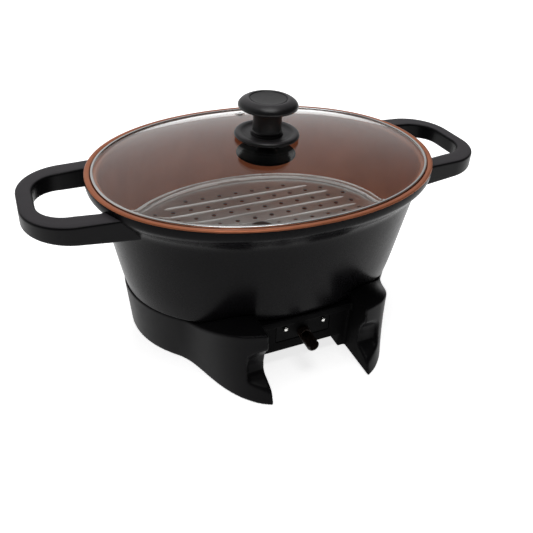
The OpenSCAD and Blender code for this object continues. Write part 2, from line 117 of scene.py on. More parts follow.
def plain_material(name, dark, light, rough, metallic=0.0, specular=0.5, patch=30.0,
                   grain=1200.0, grain_depth=0.05, distance=0.0002, stretch=(1, 1, 1),
                   peel=None, coat=0.0, coat_rough=0.1):
    """A surface whose colour, gloss and grain vary a little from place to place."""
    m, nt, p = new_material(name)
    v = coords(nt, stretch)
    p.inputs["Metallic"].default_value = metallic
    p.inputs["Specular IOR Level"].default_value = specular
    if coat:
        p.inputs["Coat Weight"].default_value = coat
        p.inputs["Coat Roughness"].default_value = coat_rough
    a = noise(nt, v, patch, 5.0, 0.6)
    nt.links.new(ramp(nt, a, [(0.3, dark), (0.7, light)]), p.inputs["Base Color"])
    b = noise(nt, v, patch * 3.7, 4.0, 0.65)
    nt.links.new(spread(nt, b, rough[0], rough[1]), p.inputs["Roughness"])
    n = bump(nt, noise(nt, v, grain, 3.0, 0.6), grain_depth, distance)
    if peel:
        n = bump(nt, noise(nt, v, peel[0], 2.0), peel[1], distance * 4, n)
    nt.links.new(n, p.inputs["Normal"])
    return m




def phenolic_material(name, specular):
    """Moulded black with tone that varies at random, and a little paler where it faces up: painted top light."""
    m, nt, p = new_material(name)
    v = coords(nt)
    tc = nt.nodes.new("ShaderNodeTexCoord")
    xyz = nt.nodes.new("ShaderNodeSeparateXYZ")
    nt.links.new(tc.outputs["Normal"], xyz.inputs[0])
    top_light_and_tone = nt.nodes.new("ShaderNodeMath")
    top_light_and_tone.operation = "MULTIPLY_ADD"
    top_light_and_tone.inputs[1].default_value = 0.14
    nt.links.new(noise(nt, v, 46, 5.0, 0.6), top_light_and_tone.inputs[0])
    nt.links.new(spread(nt, xyz.outputs["Z"], 0.0, 0.86, 0.72, 1.0), top_light_and_tone.inputs[2])
    # Noise gives random tone; up-facing normals push the colour to the pale stops: painted light on the tops.
    nt.links.new(ramp(nt, top_light_and_tone.outputs[0], [(0.02, (0.0034, 0.0032, 0.0037)), (0.14, (0.0048, 0.0045, 0.0052)),
                                            (0.86, (0.0380, 0.0352, 0.0385)), (1.0, (0.0470, 0.0435, 0.0475))]),
                 p.inputs["Base Color"])
    p.inputs["Specular IOR Level"].default_value = specular
    nt.links.new(spread(nt, noise(nt, v, 150, 4.0, 0.65), 0.31, 0.38), p.inputs["Roughness"])
    nt.links.new(bump(nt, noise(nt, v, 1800, 3.0, 0.6), 0.03, 0.00012), p.inputs["Normal"])
    return m


MAT = {"phenolic": phenolic_material("phenolic", 0.095), "knob": phenolic_material("phenolic_knob", 0.42)}
MAT["coat_black"] = plain_material("coat_black", (0.0030, 0.0028, 0.0032), (0.0044, 0.0041, 0.0047), (0.25, 0.30),
                                   specular=0.058, patch=18, grain=1500, grain_depth=0.012)
MAT["housing"] = plain_material("housing", (0.0044, 0.0042, 0.0047), (0.0064, 0.0061, 0.0068), (0.33, 0.40),
                                specular=0.062, patch=22, grain=2400, grain_depth=0.04, distance=0.0001)
# Darker, rougher copy of the housing: painted shade for the inside of the recessed bays.
MAT["bay"] = plain_material("bay", (0.0022, 0.0021, 0.0023), (0.0034, 0.0033, 0.0036), (0.55, 0.66),
                            specular=0.025, patch=22, grain=2400, grain_depth=0.04, distance=0.0001)
MAT["inlay"] = plain_material("inlay", (0.010, 0.0097, 0.0105), (0.014, 0.0135, 0.0147), (0.28, 0.34),
                              specular=0.35, patch=60, grain=1400, grain_depth=0.02)
MAT["cover"] = plain_material("cover", (0.014, 0.014, 0.015), (0.022, 0.022, 0.023), (0.52, 0.62),
                              patch=25, grain=1600, grain_depth=0.12)
MAT["rubber"] = plain_material("rubber", (0.010, 0.010, 0.010), (0.018, 0.018, 0.018), (0.72, 0.85),
                               specular=0.3, patch=80, grain=1500, grain_depth=0.15)
MAT["socket"] = plain_material("socket", (0.0022, 0.0022, 0.0024), (0.0034, 0.0034, 0.0037), (0.52, 0.62),
                               specular=0.04, patch=60, grain=1700, grain_depth=0.10)
MAT["guide"] = plain_material("guide", (0.0075, 0.0045, 0.0036), (0.0140, 0.0080, 0.0060), (0.35, 0.5),
                              specular=0.25,
                              patch=120, grain=1300, grain_depth=0.12)
MAT["band"] = plain_material("band", (0.70, 0.70, 0.69), (0.83, 0.83, 0.82), (0.10, 0.17), metallic=1.0,
                             patch=35, grain=900, grain_depth=0.015)
MAT["pin"] = plain_material("pin", (0.72, 0.71, 0.68), (0.88, 0.87, 0.84), (0.14, 0.24), metallic=1.0,
                            patch=160, grain=1800, grain_depth=0.03)
MAT["zinc"] = plain_material("zinc", (0.46, 0.46, 0.45), (0.62, 0.61, 0.58), (0.26, 0.40), metallic=1.0,
                             patch=140, grain=1500, grain_depth=0.06)
MAT["spring"] = plain_material("spring", (0.38, 0.38, 0.37), (0.55, 0.54, 0.52), (0.25, 0.38), metallic=1.0,
                               patch=300, grain=2000, grain_depth=0.05)
MAT["shield"] = plain_material("shield", (0.50, 0.50, 0.50), (0.66, 0.66, 0.65), (0.28, 0.42), metallic=1.0,
                               patch=20, grain=700, grain_depth=0.05, stretch=(1, 6, 1))
MAT["alloy"] = plain_material("alloy", (0.42, 0.42, 0.42), (0.58, 0.58, 0.57), (0.34, 0.48), metallic=1.0,
                              patch=45, grain=1100, grain_depth=0.10)
MAT["sheath"] = plain_material("sheath", (0.10, 0.085, 0.075), (0.24, 0.20, 0.17), (0.38, 0.55), metallic=0.9,
                               patch=60, grain=900, grain_depth=0.08)
MAT["ceramic"] = plain_material("ceramic", (0.62, 0.58, 0.48), (0.78, 0.75, 0.66), (0.2, 0.32),
                                patch=150, grain=1500, grain_depth=0.04)


def copper_material():
    m, nt, p = new_material("copper")
    v = coords(nt)
    p.inputs["Metallic"].default_value = 0.6
    p.inputs["Specular IOR Level"].default_value = 0.3
    nt.links.new(ramp(nt, noise(nt, v, 26, 3.0, 0.5), [(0.25, (0.40, 0.128, 0.060)), (0.5, (0.46, 0.155, 0.075)),
                                                       (0.75, (0.52, 0.182, 0.092))]), p.inputs["Base Color"])
    nt.links.new(spread(nt, noise(nt, v, 60, 2.0), 0.28, 0.34), p.inputs["Roughness"])
    return m


def rack_material(name, dark, light, rough, grain, metallic):
    m, nt, p = new_material(name)
    v = coords(nt, (18, 1000, 1000))
    w = coords(nt)
    p.inputs["Metallic"].default_value = metallic
    nt.links.new(ramp(nt, noise(nt, v, 1.0, 4.0, 0.6), [(0.3, dark), (0.7, light)]), p.inputs["Base Color"])
    nt.links.new(spread(nt, noise(nt, w, 40, 4.0), *rough), p.inputs["Roughness"])
    nt.links.new(bump(nt, noise(nt, v, 1.3, 3.0), grain, 0.0001), p.inputs["Normal"])
    return m


def glass_material():
    m, nt, p = new_material("lid_glass")
    out = next(n for n in nt.nodes if n.type == "OUTPUT_MATERIAL")
    p.inputs["Roughness"].default_value = 0.0
    p.inputs["Transmission Weight"].default_value = 1.0
    p.inputs["IOR"].default_value = 1.5
    v = coords(nt)
    nt.links.new(ramp(nt, noise(nt, v, 14, 3.0), [(0.3, (0.955, 0.978, 0.972)), (0.7, (0.972, 0.988, 0.984))]),
                 p.inputs["Base Color"])
    clear = nt.nodes.new("ShaderNodeBsdfTransparent")
    clear.inputs["Color"].default_value = (0.93, 0.95, 0.945, 1)
    path = nt.nodes.new("ShaderNodeLightPath")
    mix = nt.nodes.new("ShaderNodeMixShader")
    nt.links.new(path.outputs["Is Shadow Ray"], mix.inputs[0])
    nt.links.new(p.outputs[0], mix.inputs[1])
    nt.links.new(clear.outputs[0], mix.inputs[2])
    nt.links.new(mix.outputs[0], out.inputs[0])
    return m


MAT["copper"] = copper_material()
MAT["rack"] = rack_material("rack_steel", (0.60, 0.59, 0.585), (0.72, 0.71, 0.70), (0.30, 0.38), 0.02, 1.0)
# Paler, part-diffuse copy of the rack steel: painted highlight for the beads and ribs, standing in for their reflection
# of the bright surroundings.
MAT["rack_painted_highlight"] = rack_material("rack_painted_highlight", (0.86, 0.855, 0.85), (0.94, 0.935, 0.93), (0.26, 0.34), 0.004, 0.35)
MAT["glass"] = glass_material()

# ---------------------------------------------------------------------------
# mesh helpers (points in millimetres)
# ---------------------------------------------------------------------------


def make(name, verts, faces, mats, body, replaced=(), face_mat=None, sharp=35.0):
    me = bpy.data.meshes.new(name)
    me.from_pydata((np.asarray(verts, float) * MM).tolist(), [], [tuple(int(i) for i in f) for f in faces])
    for m in mats:
        me.materials.append(MAT[m])
    if face_mat is not None:
        me.polygons.foreach_set("material_index", np.asarray(face_mat, np.int32))
    me.update()
    ob = bpy.data.objects.new(name, me)
    scene.collection.objects.link(ob)
    smooth(ob, sharp)
    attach(ob, body)
    if replaced:
        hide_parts(*replaced)
    return ob


def smooth(ob, sharp):
    me = ob.data
    me.polygons.foreach_set("use_smooth", np.ones(len(me.polygons), bool))
    me.set_sharp_from_angle(angle=math.radians(sharp))


def loft(rings, closed=False, cap_first=False, cap_last=False):
    n, m = len(rings[0]), len(rings)
    verts = np.concatenate(rings)
    i = np.arange(n)
    j = (i + 1) % n
    faces = []
    for k in range(m if closed else m - 1):
        q = (k + 1) % m
        faces.append(np.stack([k * n + i, k * n + j, q * n + j, q * n + i], 1))
    faces = [tuple(f) for f in np.concatenate(faces)]
    if cap_first:
        faces.append(tuple(range(n - 1, -1, -1)))
    if cap_last:
        faces.append(tuple((m - 1) * n + k for k in range(n)))
    return verts, faces


def curve_through(points, corners=(), sub=6):
    """Smooth run of points through the given ones, with sharp turns at the corners."""
    pts = [np.asarray(p, float) for p in points]
    stops = sorted({0, len(pts) - 1, *corners})
    out = [pts[0]]
    for s, e in zip(stops[:-1], stops[1:]):
        run = pts[s:e + 1]
        if len(run) == 2:
            out.append(run[1])
            continue
        ext = [2 * run[0] - run[1]] + run + [2 * run[-1] - run[-2]]
        for k in range(1, len(ext) - 2):
            p0, p1, p2, p3 = ext[k - 1:k + 3]
            d = [max(np.linalg.norm(b - a), 1e-6) ** 0.5 for a, b in ((p0, p1), (p1, p2), (p2, p3))]
            m1 = (p2 - p1) / d[1] + (p1 - p0) / d[0] - (p2 - p0) / (d[0] + d[1])
            m2 = (p2 - p1) / d[1] + (p3 - p2) / d[2] - (p3 - p1) / (d[1] + d[2])
            m1, m2 = m1 * d[1], m2 * d[1]
            for t in np.linspace(0, 1, sub + 1)[1:]:
                out.append((2 * t ** 3 - 3 * t ** 2 + 1) * p1 + (t ** 3 - 2 * t ** 2 + t) * m1
                           + (3 * t ** 2 - 2 * t ** 3) * p2 + (t ** 3 - t ** 2) * m2)
    return np.array(out)


def rounded(points, r, seg=3, closed=True):
    """Corners of a profile cut back by r and rounded."""
    pts = [np.asarray(p, float) for p in points]
    out = []
    n = len(pts)
    for k, p in enumerate(pts):
        if not closed and k in (0, n - 1):
            out.append(p)
            continue
        a, b = pts[k - 1] - p, pts[(k + 1) % n] - p
        la, lb = np.linalg.norm(a), np.linalg.norm(b)
        c = min(r, 0.45 * la, 0.45 * lb)
        p0, p1 = p + a / la * c, p + b / lb * c
        for t in np.linspace(0, 1, seg + 1):
            out.append((1 - t) ** 2 * p0 + 2 * t * (1 - t) * p + t ** 2 * p1)
    return np.array(out)


def lathe(profile, n=128, closed=False):
    t = np.linspace(0, 2 * np.pi, n, endpoint=False)
    rings = [np.stack([max(r, 0.02) * np.cos(t), max(r, 0.02) * np.sin(t), np.full(n, z)], 1) for r, z in profile]
    return loft(rings, closed=closed, cap_first=not closed, cap_last=not closed)


def apply_modifiers(ob):
    dg = bpy.context.evaluated_depsgraph_get()
    me = bpy.data.meshes.new_from_object(ob.evaluated_get(dg))
    old = ob.data
    ob.modifiers.clear()
    ob.data = me
    me.name = old.name
    bpy.data.meshes.remove(old)


def carve(ob, cutter_verts, cutter_faces):
    """Takes a closed cutter away from a closed piece."""
    me = bpy.data.meshes.new("cutter")
    me.from_pydata((np.asarray(cutter_verts, float) * MM).tolist(), [], [tuple(int(i) for i in f) for f in cutter_faces])
    cut = bpy.data.objects.new("cutter", me)
    scene.collection.objects.link(cut)
    mod = ob.modifiers.new("carve", "BOOLEAN")
    mod.operation = "DIFFERENCE"
    mod.solver = "EXACT"
    mod.object = cut
    bpy.context.view_layer.update()
    apply_modifiers(ob)
    bpy.data.objects.remove(cut)
    bpy.data.meshes.remove(me)


def joined(parts):
    verts, faces, base = [], [], 0
    for v, f in parts:
        verts.append(np.asarray(v, float))
        faces += [tuple(i + base for i in q) for q in f]
        base += len(v)
    return np.concatenate(verts), faces


# ---------------------------------------------------------------------------
# dimensions shared with the construction
# ---------------------------------------------------------------------------

RIM_A, RIM_B, RIM_Z, OVAL = 184.0, 137.0, 181.0, 2.1
BASE_H = 55.2
POT_BOTTOM = BASE_H - 3.5
POT_FLOOR = POT_BOTTOM + 5


def spow(v, e):
    return np.sign(v) * np.abs(v) ** e


def oval(a, b, z, n=224):
    t = np.linspace(0, 2 * np.pi, n, endpoint=False)
    return np.stack([a * spow(np.cos(t), 2 / OVAL), b * spow(np.sin(t), 2 / OVAL), np.full(n, float(z))], 1)


def lean(d):
    return d if d <= 12 else 12 + 0.65 * (d - 12)


def ring(d, z, t=0.0, n=224):
    return oval(RIM_A - d - t, RIM_B - lean(d) - t, z, n)


# ---------------------------------------------------------------------------
# pot: coated outside, copper-coloured rim and inside
# ---------------------------------------------------------------------------

POT_OUT = [(POT_BOTTOM, 40), (POT_BOTTOM + 0.6, 37.6), (POT_BOTTOM + 2, 36.6), (BASE_H + 0.8, 36.4),
           (BASE_H + 1.0, 32.7), (BASE_H + 1.7, 31.7), (62, 30.4), (75, 27.4), (100, 22.6), (125, 17.8),
           (150, 12.6), (157, 10.2), (163, 6.2), (167.5, 2.4), (171, 0.4), (173, 0), (RIM_Z - 1.4, 0),
           (RIM_Z - 0.3, 0.7), (RIM_Z, 1.8)]
POT_IN = [(RIM_Z, 4.2, 0), (RIM_Z - 0.8, 5.2, 0), (RIM_Z - 5.6, 5.6, 0), (RIM_Z - 6.2, 6.4, 0),
          (RIM_Z - 6.4, 8.6, 3.4), (173, 9.6, 3.6), (168, 10.2, 4), (160, 10.8, 4.2), (150, 12.6, 4),
          (125, 17.8, 4), (100, 22.6, 4), (75, 27.4, 4), (64, 29.6, 4.2), (POT_FLOOR + 2.5, 31.6, 5.2),
          (POT_FLOOR + 0.6, 34, 7.4), (POT_FLOOR, 36.5, 10)]
out_run = curve_through(POT_OUT, corners=(1, 2, 3, 4, 5, 15, 16, 18), sub=5)
in_run = curve_through(POT_IN, corners=(1, 2, 3, 4), sub=5)
pot_rings = [ring(d, z) for z, d in out_run] + [ring(d, z, t) for z, d, t in in_run]
pot_rings = [oval(30, 20, POT_BOTTOM), oval(100, 72, POT_BOTTOM)] + pot_rings + [oval(100, 72, POT_FLOOR), oval(30, 20, POT_FLOOR)]
pv, pf = loft(pot_rings, cap_first=True, cap_last=True)
edge_row = 2 + int(np.argmin([abs(z - (RIM_Z - 1.4)) + abs(d) for z, d in out_run]))
rows = np.repeat(np.arange(len(pot_rings) - 1), 224)
pot_mat = np.concatenate([(rows >= edge_row).astype(int), [0, 1]])
pot = make("pot_shell", pv, pf, ["coat_black", "copper"], "pot", ["pot"], pot_mat, sharp=40)


def pot_wall_x(y, z):
    """How far out the pot's outside is at a given y and height."""
    d = np.interp(z, [p[0] for p in out_run], [p[1] for p in out_run])
    a, b = RIM_A - d, RIM_B - np.where(d <= 12, d, 12 + 0.65 * (d - 12))
    q = np.clip(1 - np.abs(y / b) ** OVAL, 0, 1)
    return a * q ** (1 / OVAL)


# ---------------------------------------------------------------------------
# handles: flat loops moulded round the pot's lugs
# ---------------------------------------------------------------------------

HANDLE_TOP, HANDLE_ROOT_Z, REACH = 173.4, 150.0, 246.0
SLOPE = math.tan(math.radians(4.2))


def handle_section():
    """Points round the bar as (share from inside to outside, share of the height, corner offsets in mm)."""
    loop = []
    r = 2.4

    def corner(u, v, su, sv, a0):
        for k in range(6):
            a = math.radians(a0 + 90 * k / 5)
            loop.append((u, v, su * r + r * math.cos(a), sv * r + r * math.sin(a)))

    corner(1, 0, -1, 1, -90)
    for k in range(1, 7):
        loop.append((1, k / 7, 0, 0))
    corner(1, 1, -1, -1, 0)
    for k in range(1, 3):
        loop.append((1 - k / 3, 1, 0, 0))
    corner(0, 1, 1, -1, 90)
    for k in range(6, 0, -1):
        loop.append((0, k / 7, 0, 0))
    corner(0, 0, 1, 1, 180)
    for k in range(1, 3):
        loop.append((k / 3, 0, 0, 0))
    return loop


def inner_y(x):
    return 51 + (41.5 - 51) * (x - 135) / (202.8 - 135)


def outer_y(x):
    return 66.6 + (62.9 - 66.6) * (x - 135) / (198.4 - 135)


def handle_mesh():
    sec = handle_section()

    def place(o, i, extra):
        """Section points between an outer and an inner plan point."""
        o, i = np.asarray(o, float), np.asarray(i, float)
        w = o - i
        width = np.linalg.norm(w)
        w = w / width
        pts = []
        for u, v, du, dv in sec:
            xy = i + w * (u * width + du)
            low = HANDLE_ROOT_Z + (xy[0] - 150) * SLOPE
            z = low + v * (HANDLE_TOP - low) + dv
            pts.append((xy[0], xy[1], z))
        return np.array(pts)

    half = []
    # arm, from the pot's wall to the start of the bend
    end = place((198.4, 62.9), (202.8, 41.5), 0)
    web = 5.0
    start = []
    for (u, v, du, dv), p in zip(sec, end):
        x, z = 160.0, p[2]
        for _ in range(30):
            yi, yo = inner_y(x), outer_y(x)
            s = (p[1] - 41.5) / (62.9 - 41.5)
            y = yi + s * (yo - yi)
            low = HANDLE_ROOT_Z + (x - 150) * SLOPE
            z = low + v * (HANDLE_TOP - low) + dv
            x = float(pot_wall_x(y, z)) - 0.7
        start.append((x, y, z))
    start = np.array(start)
    share = np.array([(p[1] - 41.5) / (62.9 - 41.5) for p in end])
    for k in np.concatenate([np.linspace(0, 0.3, 9)[:-1], np.linspace(0.3, 1, 12)]):
        row = start + (end - start) * k
        f = max(0.0, 1 - (k * 40) / 9.0) ** 2
        row[:, 1] -= web * f * (1 - share) ** 2
        half.append(row)
    # bend
    for a in np.linspace(90, 0, 22)[1:]:
        c, s = math.cos(math.radians(a)), math.sin(math.radians(a))
        half.append(place((198.4 + 47.6 * c, 15.3 + 47.6 * s), (202.8 + 28.4 * c, 13.1 + 28.4 * s), 0))
    # end bar, up to the middle
    for k in np.linspace(0, 1, 5)[1:]:
        half.append(place((REACH, 15.3 * (1 - k)), (231.2, 13.1 * (1 - k)), 0))
    other = [h * np.array([1, -1, 1]) for h in half[:-1]][::-1]
    rings = half + other
    v, f = loft(rings, cap_first=True, cap_last=True)
    return v, f


def tube(x, y, z0, z1, r, n=32):
    t = np.linspace(0, 2 * np.pi, n, endpoint=False)
    ringz = [np.stack([x + r * np.cos(t), y + r * np.sin(t), np.full(n, z)], 1) for z in (z0, z1)]
    return loft(ringz, cap_first=True, cap_last=True)


hv, hf = handle_mesh()


def outward(v, f):
    """Faces turned so that the closed surface's volume is positive."""
    vol = 0.0
    for q in f:
        p = v[list(q)]
        for k in range(1, len(q) - 1):
            vol += np.dot(p[0], np.cross(p[k], p[k + 1]))
    return f if vol > 0 else [q[::-1] for q in f]


hf = outward(hv, hf)
for side, name in ((1, "handle_right"), (-1, "handle_left")):
    v = hv * np.array([side, 1, 1])
    f = hf if side > 0 else [q[::-1] for q in hf]
    ob = make(name + "_grip", v, f, ["phenolic"], "pot", [name], sharp=40)
    holes = [tube(side * 167, y, 140, 156.4, 4.4) for y in (-58, 58)]
    carve(ob, *joined(holes))
    smooth(ob, 40)

# ---------------------------------------------------------------------------
# lid: glass, band, knob
# ---------------------------------------------------------------------------

EDGE_D, FLAT_S, DOME, GLASS_T = 7.4, 0.988, 24.0, 4.2
GLASS_Z = RIM_Z - 0.4
GA, GB = RIM_A - EDGE_D, RIM_B - EDGE_D


def dome_z(xy):
    s = (np.abs(xy[:, 0] / GA) ** OVAL + np.abs(xy[:, 1] / GB) ** OVAL) ** (1 / OVAL)
    v = DOME * (1 - (s / FLAT_S) ** 2)
    return 0.5 * (v + np.sqrt(v * v + 0.09))


def glass_ring(s, dz, n=224):
    t = np.linspace(0, 2 * np.pi, n, endpoint=False)
    p = oval(GA * s, GB * s, 0, n)
    p[:, :2] += ((1 - s) ** 4 * 4.0) * np.stack([np.cos(t), np.sin(t)], 1)
    p[:, 2] = GLASS_Z + np.clip(dome_z(p[:, :2]), 0, DOME) + dz
    return p


steps = np.concatenate([np.linspace(0.0, 0.9, 26), np.linspace(0.92, 0.992, 10)])
g_rings = [glass_ring(s, -GLASS_T) for s in steps]
g_rings += [glass_ring(0.997, -GLASS_T + 0.1), glass_ring(1.0, -GLASS_T + 0.6), glass_ring(1.0, -0.6), glass_ring(0.997, -0.1)]
g_rings += [glass_ring(s, 0) for s in steps[::-1]]
gv, gf = loft(g_rings, closed=True)
make("lid_pane", gv, gf, ["glass"], "lid", ["lid_glass"], sharp=60)

band = rounded([(6.8, -5.9), (6.2, -5.3), (6.2, 0.1), (6.8, 0.7), (8.3, 0.7), (8.7, 0.3), (8.7, -0.1), (7.1, -0.1),
                (7.1, -4.9), (8.7, -4.9), (8.7, -5.9)], 0.25, 2)
bv, bf = loft([ring(d, RIM_Z + z) for d, z in band], closed=True)
make("lid_rim_band", bv, outward(bv, bf), ["band"], "lid", ["lid_band"], sharp=50)

GLASS_TOP = GLASS_Z + DOME
SEAT = GLASS_TOP + 0.05
g0 = SEAT + 0.45
guard = [(2.7, 0), (27, 0), (31.4, 0.2), (33, 0.8), (33.5, 1.6), (33.1, 3), (31.9, 4.1), (29.9, 4.6), (27.4, 4.2), (25, 3),
         (22.5, 2.2), (16.8, 2), (16.2, 4), (2.7, 4)]
guard = curve_through(guard, corners=(1, 11, 12), sub=6)
gdv, gdf = lathe([(r, z + g0) for r, z in guard], 144, closed=True)
make("knob_skirt", gdv, outward(gdv, gdf), ["knob"], "lid", ["knob_guard"], sharp=40)

c0 = SEAT + 4.5
cap = [(2.5, 0), (15.6, 0), (15.8, 1.4), (14.9, 2.6), (14.7, 5), (14.7, 22.5), (15.6, 24.3), (19, 25.6), (26, 26.5),
       (29.4, 27.1), (30.5, 28.2), (30.2, 30.2), (28.4, 32.7), (25, 35), (21.8, 36.25), (20, 36.3), (19, 35.7), (18.9, 34.9),
       (2.5, 34.9)]
cap = curve_through(cap, corners=(1, 2, 4, 5, 16, 17), sub=6)
cv, cf = lathe([(r, z + c0) for r, z in cap], 144, closed=False)
make("knob_cap", cv, outward(cv, cf), ["knob"], "lid", ["lid_knob"], sharp=40)

inlay = curve_through([(0.02, 34.95), (18.5, 34.95), (18.5, 35.45), (18.2, 35.7), (15, 35.5), (8, 35.2), (0.02, 35.12)],
                      corners=(1, 2), sub=5)
iv, inf = lathe([(r, z + c0) for r, z in inlay], 128)
make("knob_disc", iv, outward(iv, inf), ["inlay"], "lid", ["knob_inlay"], sharp=40)

# ---------------------------------------------------------------------------
# rack: pressed tray with rows of steam holes between ribs
# ---------------------------------------------------------------------------

RACK_Z, HOLE_R, HOLE_DX, HOLE_DY = 92.5, 2.8, 21.0, 20.0
tray = [(147.0, 104.5, 0), (147.8, 105.3, 0.3), (149.0, 106.5, 4.2), (154.2, 111.0, 4.7), (155.5, 112.3, 4.4),
        (156.3, 113.1, 5.2), (155.9, 112.7, 6.3), (154.8, 111.6, 6.6), (153.5, 110.3, 6.0), (149.6, 107.0, 5.8),
        (148.1, 105.6, 4.9), (146.8, 104.3, 1.5), (146.0, 103.5, 1.2)]
tray_run = curve_through(tray, corners=(0, 12), sub=4)
t_rings = [oval(40, 28, RACK_Z), oval(110, 80, RACK_Z)] + [oval(a, b, RACK_Z + z) for a, b, z in tray_run]
t_rings += [oval(110, 80, RACK_Z + 1.2), oval(40, 28, RACK_Z + 1.2)]
tv, tf = loft(t_rings, cap_first=True, cap_last=True)
tf = outward(tv, tf)
mid = np.array([np.mean([tv[i] for i in f], axis=0) for f in tf])
far = np.hypot(mid[:, 0] / 156.3, mid[:, 1] / 113.1)
# Faces of the outer and inner beads, which take the painted-highlight steel.
highlight_bead_mask = (far > 0.985) | ((far > 0.93) & (far < 0.957) & (mid[:, 2] > RACK_Z + 3.6))
rack = make("rack_tray", tv, tf, ["rack", "rack_painted_highlight"], "rack", ["steamer_rack"], face_mat=highlight_bead_mask, sharp=35)
cutters = [tube(0, 0, RACK_Z - 2, RACK_Z + 4, 11, 56)]
for j in range(-4, 5):
    for i in range(-8, 9):
        x, y = i * HOLE_DX, j * HOLE_DY
        if (x / 139) ** 2 + (y / 99) ** 2 < 1 and math.hypot(x, y) > 14:
            cutters.append(tube(x, y, RACK_Z - 2, RACK_Z + 4, HOLE_R, 20))
carve(rack, *joined(cutters))
smooth(rack, 35)


def rib(y, lo, hi, w=1.3, h=1.25):
    """Rounded ridge along x, fading at its ends."""
    rows = []
    for x in np.concatenate([lo + np.linspace(0, 5, 7), np.linspace(lo + 8, hi - 8, 9), hi - np.linspace(5, 0, 7)]):
        e = max(0.03, math.sin(math.pi / 2 * min(1, (min(x - lo, hi - x) + 0.05) / 5)))
        a = np.linspace(0, math.pi, 9)
        top = np.stack([np.full(9, x), y + w * e * np.cos(a), RACK_Z + 1.15 + h * e * np.sin(a)], 1)
        low = np.array([[x, y - w * e, RACK_Z + 0.9], [x, y + w * e, RACK_Z + 0.9]])
        rows.append(np.concatenate([top, low]))
    return loft(rows, cap_first=True, cap_last=True)


ribs = []
for k in range(-4, 4):
    y = (k + 0.5) * HOLE_DY
    half = 132 * math.sqrt(1 - (y / 103) ** 2) - 5
    # the middle ribs stop short of the finger hole
    for lo, hi in ([(-half, -8), (8, half)] if abs(y) < 12 else [(-half, half)]):
        v, f = rib(y, lo, hi)
        ribs.append((v, outward(v, f)))
rv, rf = joined(ribs)
# The ribs take the painted-highlight steel too.
make("rack_ribs", rv, rf, ["rack_painted_highlight"], "rack", (), sharp=50)

# ---------------------------------------------------------------------------
# base moulding: soft-edged form sampled on a fine grid
# ---------------------------------------------------------------------------


def surface(f, origin, h):
    """Closed surface where the field f crosses zero (negative inside)."""
    inside = f < 0
    c = np.zeros(tuple(s - 1 for s in f.shape), np.int8)
    offs = np.array([[x, y, z] for z in (0, 1) for y in (0, 1) for x in (0, 1)])
    nx, ny, nz = f.shape
    for o in offs:
        c += inside[o[0]:nx - 1 + o[0], o[1]:ny - 1 + o[1], o[2]:nz - 1 + o[2]]
    active = (c > 0) & (c < 8)
    cell = np.argwhere(active)
    idx = np.full(active.shape, -1, np.int64)
    idx[active] = np.arange(len(cell))
    vals = np.stack([f[cell[:, 0] + o[0], cell[:, 1] + o[1], cell[:, 2] + o[2]] for o in offs], 1).astype(float)
    acc, cnt = np.zeros((len(cell), 3)), np.zeros(len(cell))
    for a, b in ((0, 1), (2, 3), (4, 5), (6, 7), (0, 2), (1, 3), (4, 6), (5, 7), (0, 4), (1, 5), (2, 6), (3, 7)):
        va, vb = vals[:, a], vals[:, b]
        m = (va < 0) != (vb < 0)
        t = va[m] / (va[m] - vb[m])
        acc[m] += offs[a] + t[:, None] * (offs[b] - offs[a])
        cnt[m] += 1
    verts = np.asarray(origin) + (cell + acc / cnt[:, None]) * h
    quads = []

    def add(a, b, flip):
        q = np.stack(a, 1)
        q[flip] = q[flip][:, ::-1]
        quads.append(q)

    s = np.argwhere(inside[:-1, 1:-1, 1:-1] != inside[1:, 1:-1, 1:-1])
    i, j, k = s[:, 0], s[:, 1] + 1, s[:, 2] + 1
    add((idx[i, j - 1, k - 1], idx[i, j, k - 1], idx[i, j, k], idx[i, j - 1, k]), 0, ~inside[i, j, k])
    s = np.argwhere(inside[1:-1, :-1, 1:-1] != inside[1:-1, 1:, 1:-1])
    i, j, k = s[:, 0] + 1, s[:, 1], s[:, 2] + 1
    add((idx[i - 1, j, k - 1], idx[i - 1, j, k], idx[i, j, k], idx[i, j, k - 1]), 0, ~inside[i, j, k])
    s = np.argwhere(inside[1:-1, 1:-1, :-1] != inside[1:-1, 1:-1, 1:])
    i, j, k = s[:, 0] + 1, s[:, 1] + 1, s[:, 2]
    add((idx[i - 1, j - 1, k], idx[i, j - 1, k], idx[i, j, k], idx[i - 1, j, k]), 0, ~inside[i, j, k])
    return verts, np.concatenate(quads)


def smax(a, b, k):
    h = np.maximum(k - np.abs(a - b), 0) / k
    return np.maximum(a, b) + h * h * k * 0.25


def ease(t):
    u = np.clip(t, 0, 1)
    return u * u * (3 - 2 * u)


def polygon_distance(y, z, poly):
    d = np.full(y.shape, 1e9)
    sign = np.ones(y.shape)
    n = len(poly)
    for k in range(n):
        (y0, z0), (y1, z1) = poly[k], poly[k - 1]
        ey, ez = y1 - y0, z1 - z0
        wy, wz = y - y0, z - z0
        t = np.clip((wy * ey + wz * ez) / (ey * ey + ez * ez), 0, 1)
        d = np.minimum(d, np.hypot(wy - ey * t, wz - ez * t))
        c1, c2, c3 = z >= z0, z < z1, ey * wz > ez * wy
        flip = (c1 & c2 & c3) | (~c1 & ~c2 & ~c3)
        sign = np.where(flip, -sign, sign)
    return d * sign


def plan(t, a, b):
    return 1 / np.sqrt((np.cos(t) / a) ** 2 + (np.sin(t) / b) ** 2)


